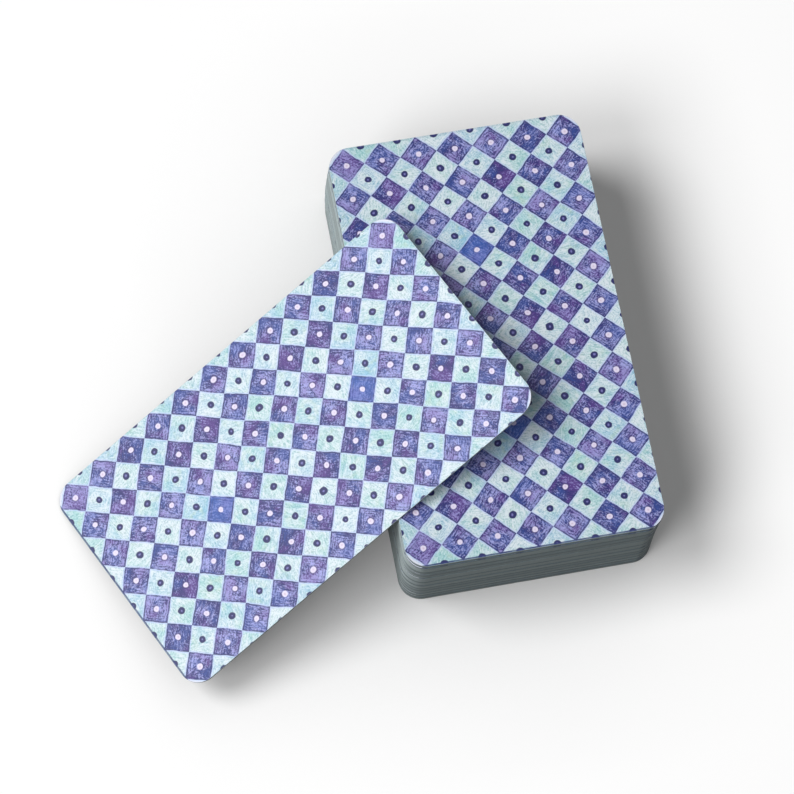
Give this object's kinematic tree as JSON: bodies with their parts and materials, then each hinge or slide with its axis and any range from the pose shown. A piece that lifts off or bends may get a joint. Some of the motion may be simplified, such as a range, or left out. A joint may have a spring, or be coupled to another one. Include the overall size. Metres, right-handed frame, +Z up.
{
  "type": "card deck",
  "caption": "Squared stack of large round-cornered cards, backs up, with one loose card leaning on its side; checked back pattern with dots.",
  "frame": {"origin": "middle of the stack's underside, on the table", "axes": "+Z up, square to the cards; +X across the stack, away from the loose card; +Y along the stack's length, away from the viewer of the picture"},
  "size_m": [0.1566, 0.1351, 0.0483],
  "materials": {
    "card_stock": "matt uncoated edge and face, pale grey white",
    "card_print": "satin printed back: violet and pale cyan check with a dot in each square"
  },
  "bodies": {
    "card_01": {"card_01": "card_stock"},
    "card_02": {"card_02": "card_stock"},
    "card_03": {"card_03": "card_stock"},
    "card_04": {"card_04": "card_stock"},
    "card_05": {"card_05": "card_stock"},
    "card_06": {"card_06": "card_stock"},
    "card_07": {"card_07": "card_stock"},
    "card_08": {"card_08": "card_stock"},
    "card_09": {"card_09": "card_stock"},
    "card_10": {"card_10": "card_stock"},
    "card_11": {"card_11": "card_stock"},
    "card_12": {"card_12": "card_stock"},
    "card_13": {"card_13": "card_stock"},
    "card_14": {"card_14": "card_stock"},
    "card_15": {"card_15": "card_stock"},
    "card_16": {"card_16": "card_stock"},
    "card_17": {"card_17": "card_stock"},
    "card_18": {"card_18": "card_stock"},
    "card_19": {"card_19": "card_stock"},
    "card_20": {"card_20": "card_stock"},
    "card_21": {"card_21": "card_stock"},
    "card_22": {"card_22": "card_stock"},
    "card_23": {"card_23": "card_stock"},
    "card_24": {"card_24": "card_stock"},
    "card_25": {"card_25": "card_stock"},
    "card_26": {"card_26": "card_stock"},
    "card_27": {"card_27": "card_stock"},
    "card_28": {"card_28": "card_stock"},
    "card_29": {"card_29": "card_stock"},
    "card_30": {"card_30": "card_stock"},
    "card_31": {"card_31": "card_stock"},
    "card_32": {"card_32": "card_stock"},
    "card_33": {"card_33": "card_stock"},
    "card_34": {"card_34": "card_stock"},
    "card_35": {"card_35": "card_stock"},
    "card_36": {"card_36": "card_stock"},
    "card_37": {"card_37": "card_stock"},
    "card_38": {"card_38": "card_stock"},
    "card_39": {"card_39": "card_stock"},
    "card_40": {"card_40": "card_stock"},
    "card_41": {"card_41": "card_stock"},
    "card_42": {"card_42": "card_stock"},
    "card_43": {"card_43": "card_stock"},
    "card_44": {"card_44": "card_stock"},
    "card_45": {"card_45": "card_stock"},
    "card_46": {"card_46": "card_stock"},
    "card_47": {"card_47": "card_stock"},
    "card_48": {"card_48": "card_stock"},
    "card_49": {"card_49": "card_stock"},
    "card_50": {"card_50": "card_stock"},
    "card_51": {"card_51": "card_stock"},
    "card_52": {"card_52": "card_stock"},
    "card_53": {"card_53": "card_stock"},
    "card_54": {"card_54": "card_stock"},
    "card_55": {"card_55": "card_stock"},
    "card_56": {"card_56": "card_stock"},
    "card_57": {"card_57": "card_stock"},
    "card_58": {"card_58": "card_stock"},
    "card_59": {"card_59": "card_print"},
    "loose_card": {"loose_card": "card_print"}
  },
  "joints": [
    {"name": "fan", "type": "hinge", "parent": "card_01", "child": "card_02", "pos_m": [0, -0.054, 0], "axis": [0, 0, -1], "range_deg": [0, 2]},
    {"name": "fan_03", "type": "hinge", "parent": "card_02", "child": "card_03", "pos_m": [0, -0.054, 0], "axis": [0, 0, -1], "range_deg": [0, 2]},
    {"name": "fan_04", "type": "hinge", "parent": "card_03", "child": "card_04", "pos_m": [0, -0.054, 0], "axis": [0, 0, -1], "range_deg": [0, 2]},
    {"name": "fan_05", "type": "hinge", "parent": "card_04", "child": "card_05", "pos_m": [0, -0.054, 0], "axis": [0, 0, -1], "range_deg": [0, 2]},
    {"name": "fan_06", "type": "hinge", "parent": "card_05", "child": "card_06", "pos_m": [0, -0.054, 0], "axis": [0, 0, -1], "range_deg": [0, 2]},
    {"name": "fan_07", "type": "hinge", "parent": "card_06", "child": "card_07", "pos_m": [0, -0.054, 0], "axis": [0, 0, -1], "range_deg": [0, 2]},
    {"name": "fan_08", "type": "hinge", "parent": "card_07", "child": "card_08", "pos_m": [0, -0.054, 0], "axis": [0, 0, -1], "range_deg": [0, 2]},
    {"name": "fan_09", "type": "hinge", "parent": "card_08", "child": "card_09", "pos_m": [0, -0.054, 0], "axis": [0, 0, -1], "range_deg": [0, 2]},
    {"name": "fan_10", "type": "hinge", "parent": "card_09", "child": "card_10", "pos_m": [0, -0.054, 0], "axis": [0, 0, -1], "range_deg": [0, 2]},
    {"name": "fan_11", "type": "hinge", "parent": "card_10", "child": "card_11", "pos_m": [0, -0.054, 0], "axis": [0, 0, -1], "range_deg": [0, 2]},
    {"name": "fan_12", "type": "hinge", "parent": "card_11", "child": "card_12", "pos_m": [0, -0.054, 0], "axis": [0, 0, -1], "range_deg": [0, 2]},
    {"name": "fan_13", "type": "hinge", "parent": "card_12", "child": "card_13", "pos_m": [0, -0.054, 0], "axis": [0, 0, -1], "range_deg": [0, 2]},
    {"name": "fan_14", "type": "hinge", "parent": "card_13", "child": "card_14", "pos_m": [0, -0.054, 0], "axis": [0, 0, -1], "range_deg": [0, 2]},
    {"name": "fan_15", "type": "hinge", "parent": "card_14", "child": "card_15", "pos_m": [0, -0.054, 0], "axis": [0, 0, -1], "range_deg": [0, 2]},
    {"name": "fan_16", "type": "hinge", "parent": "card_15", "child": "card_16", "pos_m": [0, -0.054, 0], "axis": [0, 0, -1], "range_deg": [0, 2]},
    {"name": "fan_17", "type": "hinge", "parent": "card_16", "child": "card_17", "pos_m": [0, -0.054, 0], "axis": [0, 0, -1], "range_deg": [0, 2]},
    {"name": "fan_18", "type": "hinge", "parent": "card_17", "child": "card_18", "pos_m": [0, -0.054, 0], "axis": [0, 0, -1], "range_deg": [0, 2]},
    {"name": "fan_19", "type": "hinge", "parent": "card_18", "child": "card_19", "pos_m": [0, -0.054, 0], "axis": [0, 0, -1], "range_deg": [0, 2]},
    {"name": "fan_20", "type": "hinge", "parent": "card_19", "child": "card_20", "pos_m": [0, -0.054, 0], "axis": [0, 0, -1], "range_deg": [0, 2]},
    {"name": "fan_21", "type": "hinge", "parent": "card_20", "child": "card_21", "pos_m": [0, -0.054, 0], "axis": [0, 0, -1], "range_deg": [0, 2]},
    {"name": "fan_22", "type": "hinge", "parent": "card_21", "child": "card_22", "pos_m": [0, -0.054, 0], "axis": [0, 0, -1], "range_deg": [0, 2]},
    {"name": "fan_23", "type": "hinge", "parent": "card_22", "child": "card_23", "pos_m": [0, -0.054, 0], "axis": [0, 0, -1], "range_deg": [0, 2]},
    {"name": "fan_24", "type": "hinge", "parent": "card_23", "child": "card_24", "pos_m": [0, -0.054, 0], "axis": [0, 0, -1], "range_deg": [0, 2]},
    {"name": "fan_25", "type": "hinge", "parent": "card_24", "child": "card_25", "pos_m": [0, -0.054, 0], "axis": [0, 0, -1], "range_deg": [0, 2]},
    {"name": "fan_26", "type": "hinge", "parent": "card_25", "child": "card_26", "pos_m": [0, -0.054, 0], "axis": [0, 0, -1], "range_deg": [0, 2]},
    {"name": "fan_27", "type": "hinge", "parent": "card_26", "child": "card_27", "pos_m": [0, -0.054, 0], "axis": [0, 0, -1], "range_deg": [0, 2]},
    {"name": "fan_28", "type": "hinge", "parent": "card_27", "child": "card_28", "pos_m": [0, -0.054, 0], "axis": [0, 0, -1], "range_deg": [0, 2]},
    {"name": "fan_29", "type": "hinge", "parent": "card_28", "child": "card_29", "pos_m": [0, -0.054, 0], "axis": [0, 0, -1], "range_deg": [0, 2]},
    {"name": "fan_30", "type": "hinge", "parent": "card_29", "child": "card_30", "pos_m": [0, -0.054, 0], "axis": [0, 0, -1], "range_deg": [0, 2]},
    {"name": "cut", "type": "slide", "parent": "card_30", "child": "card_31", "axis": [1, 0, 0], "range_m": [0, 0.072]},
    {"name": "fan_32", "type": "hinge", "parent": "card_31", "child": "card_32", "pos_m": [0, -0.054, 0], "axis": [0, 0, -1], "range_deg": [0, 2]},
    {"name": "fan_33", "type": "hinge", "parent": "card_32", "child": "card_33", "pos_m": [0, -0.054, 0], "axis": [0, 0, -1], "range_deg": [0, 2]},
    {"name": "fan_34", "type": "hinge", "parent": "card_33", "child": "card_34", "pos_m": [0, -0.054, 0], "axis": [0, 0, -1], "range_deg": [0, 2]},
    {"name": "fan_35", "type": "hinge", "parent": "card_34", "child": "card_35", "pos_m": [0, -0.054, 0], "axis": [0, 0, -1], "range_deg": [0, 2]},
    {"name": "fan_36", "type": "hinge", "parent": "card_35", "child": "card_36", "pos_m": [0, -0.054, 0], "axis": [0, 0, -1], "range_deg": [0, 2]},
    {"name": "fan_37", "type": "hinge", "parent": "card_36", "child": "card_37", "pos_m": [0, -0.054, 0], "axis": [0, 0, -1], "range_deg": [0, 2]},
    {"name": "fan_38", "type": "hinge", "parent": "card_37", "child": "card_38", "pos_m": [0, -0.054, 0], "axis": [0, 0, -1], "range_deg": [0, 2]},
    {"name": "fan_39", "type": "hinge", "parent": "card_38", "child": "card_39", "pos_m": [0, -0.054, 0], "axis": [0, 0, -1], "range_deg": [0, 2]},
    {"name": "fan_40", "type": "hinge", "parent": "card_39", "child": "card_40", "pos_m": [0, -0.054, 0], "axis": [0, 0, -1], "range_deg": [0, 2]},
    {"name": "fan_41", "type": "hinge", "parent": "card_40", "child": "card_41", "pos_m": [0, -0.054, 0], "axis": [0, 0, -1], "range_deg": [0, 2]},
    {"name": "fan_42", "type": "hinge", "parent": "card_41", "child": "card_42", "pos_m": [0, -0.054, 0], "axis": [0, 0, -1], "range_deg": [0, 2]},
    {"name": "fan_43", "type": "hinge", "parent": "card_42", "child": "card_43", "pos_m": [0, -0.054, 0], "axis": [0, 0, -1], "range_deg": [0, 2]},
    {"name": "fan_44", "type": "hinge", "parent": "card_43", "child": "card_44", "pos_m": [0, -0.054, 0], "axis": [0, 0, -1], "range_deg": [0, 2]},
    {"name": "fan_45", "type": "hinge", "parent": "card_44", "child": "card_45", "pos_m": [0, -0.054, 0], "axis": [0, 0, -1], "range_deg": [0, 2]},
    {"name": "fan_46", "type": "hinge", "parent": "card_45", "child": "card_46", "pos_m": [0, -0.054, 0], "axis": [0, 0, -1], "range_deg": [0, 2]},
    {"name": "fan_47", "type": "hinge", "parent": "card_46", "child": "card_47", "pos_m": [0, -0.054, 0], "axis": [0, 0, -1], "range_deg": [0, 2]},
    {"name": "fan_48", "type": "hinge", "parent": "card_47", "child": "card_48", "pos_m": [0, -0.054, 0], "axis": [0, 0, -1], "range_deg": [0, 2]},
    {"name": "fan_49", "type": "hinge", "parent": "card_48", "child": "card_49", "pos_m": [0, -0.054, 0], "axis": [0, 0, -1], "range_deg": [0, 2]},
    {"name": "fan_50", "type": "hinge", "parent": "card_49", "child": "card_50", "pos_m": [0, -0.054, 0], "axis": [0, 0, -1], "range_deg": [0, 2]},
    {"name": "fan_51", "type": "hinge", "parent": "card_50", "child": "card_51", "pos_m": [0, -0.054, 0], "axis": [0, 0, -1], "range_deg": [0, 2]},
    {"name": "fan_52", "type": "hinge", "parent": "card_51", "child": "card_52", "pos_m": [0, -0.054, 0], "axis": [0, 0, -1], "range_deg": [0, 2]},
    {"name": "fan_53", "type": "hinge", "parent": "card_52", "child": "card_53", "pos_m": [0, -0.054, 0], "axis": [0, 0, -1], "range_deg": [0, 2]},
    {"name": "fan_54", "type": "hinge", "parent": "card_53", "child": "card_54", "pos_m": [0, -0.054, 0], "axis": [0, 0, -1], "range_deg": [0, 2]},
    {"name": "fan_55", "type": "hinge", "parent": "card_54", "child": "card_55", "pos_m": [0, -0.054, 0], "axis": [0, 0, -1], "range_deg": [0, 2]},
    {"name": "fan_56", "type": "hinge", "parent": "card_55", "child": "card_56", "pos_m": [0, -0.054, 0], "axis": [0, 0, -1], "range_deg": [0, 2]},
    {"name": "fan_57", "type": "hinge", "parent": "card_56", "child": "card_57", "pos_m": [0, -0.054, 0], "axis": [0, 0, -1], "range_deg": [0, 2]},
    {"name": "fan_58", "type": "hinge", "parent": "card_57", "child": "card_58", "pos_m": [0, -0.054, 0], "axis": [0, 0, -1], "range_deg": [0, 2]},
    {"name": "deal", "type": "slide", "parent": "card_58", "child": "card_59", "axis": [0, 1, 0], "range_m": [0, 0.125]},
    {"name": "turn_up", "type": "hinge", "parent": "card_01", "child": "loose_card", "pos_m": [-0.10904, -0.04555, 0.0047], "axis": [0.4074, -0.9, 0.1548], "range_deg": [0, 90]}
  ],
  "couplings": [
    {"joint": "fan_03", "follows": "fan", "ratio": 1},
    {"joint": "fan_04", "follows": "fan", "ratio": 1},
    {"joint": "fan_05", "follows": "fan", "ratio": 1},
    {"joint": "fan_06", "follows": "fan", "ratio": 1},
    {"joint": "fan_07", "follows": "fan", "ratio": 1},
    {"joint": "fan_08", "follows": "fan", "ratio": 1},
    {"joint": "fan_09", "follows": "fan", "ratio": 1},
    {"joint": "fan_10", "follows": "fan", "ratio": 1},
    {"joint": "fan_11", "follows": "fan", "ratio": 1},
    {"joint": "fan_12", "follows": "fan", "ratio": 1},
    {"joint": "fan_13", "follows": "fan", "ratio": 1},
    {"joint": "fan_14", "follows": "fan", "ratio": 1},
    {"joint": "fan_15", "follows": "fan", "ratio": 1},
    {"joint": "fan_16", "follows": "fan", "ratio": 1},
    {"joint": "fan_17", "follows": "fan", "ratio": 1},
    {"joint": "fan_18", "follows": "fan", "ratio": 1},
    {"joint": "fan_19", "follows": "fan", "ratio": 1},
    {"joint": "fan_20", "follows": "fan", "ratio": 1},
    {"joint": "fan_21", "follows": "fan", "ratio": 1},
    {"joint": "fan_22", "follows": "fan", "ratio": 1},
    {"joint": "fan_23", "follows": "fan", "ratio": 1},
    {"joint": "fan_24", "follows": "fan", "ratio": 1},
    {"joint": "fan_25", "follows": "fan", "ratio": 1},
    {"joint": "fan_26", "follows": "fan", "ratio": 1},
    {"joint": "fan_27", "follows": "fan", "ratio": 1},
    {"joint": "fan_28", "follows": "fan", "ratio": 1},
    {"joint": "fan_29", "follows": "fan", "ratio": 1},
    {"joint": "fan_30", "follows": "fan", "ratio": 1},
    {"joint": "fan_32", "follows": "fan", "ratio": 1},
    {"joint": "fan_33", "follows": "fan", "ratio": 1},
    {"joint": "fan_34", "follows": "fan", "ratio": 1},
    {"joint": "fan_35", "follows": "fan", "ratio": 1},
    {"joint": "fan_36", "follows": "fan", "ratio": 1},
    {"joint": "fan_37", "follows": "fan", "ratio": 1},
    {"joint": "fan_38", "follows": "fan", "ratio": 1},
    {"joint": "fan_39", "follows": "fan", "ratio": 1},
    {"joint": "fan_40", "follows": "fan", "ratio": 1},
    {"joint": "fan_41", "follows": "fan", "ratio": 1},
    {"joint": "fan_42", "follows": "fan", "ratio": 1},
    {"joint": "fan_43", "follows": "fan", "ratio": 1},
    {"joint": "fan_44", "follows": "fan", "ratio": 1},
    {"joint": "fan_45", "follows": "fan", "ratio": 1},
    {"joint": "fan_46", "follows": "fan", "ratio": 1},
    {"joint": "fan_47", "follows": "fan", "ratio": 1},
    {"joint": "fan_48", "follows": "fan", "ratio": 1},
    {"joint": "fan_49", "follows": "fan", "ratio": 1},
    {"joint": "fan_50", "follows": "fan", "ratio": 1},
    {"joint": "fan_51", "follows": "fan", "ratio": 1},
    {"joint": "fan_52", "follows": "fan", "ratio": 1},
    {"joint": "fan_53", "follows": "fan", "ratio": 1},
    {"joint": "fan_54", "follows": "fan", "ratio": 1},
    {"joint": "fan_55", "follows": "fan", "ratio": 1},
    {"joint": "fan_56", "follows": "fan", "ratio": 1},
    {"joint": "fan_57", "follows": "fan", "ratio": 1},
    {"joint": "fan_58", "follows": "fan", "ratio": 1}
  ]
}
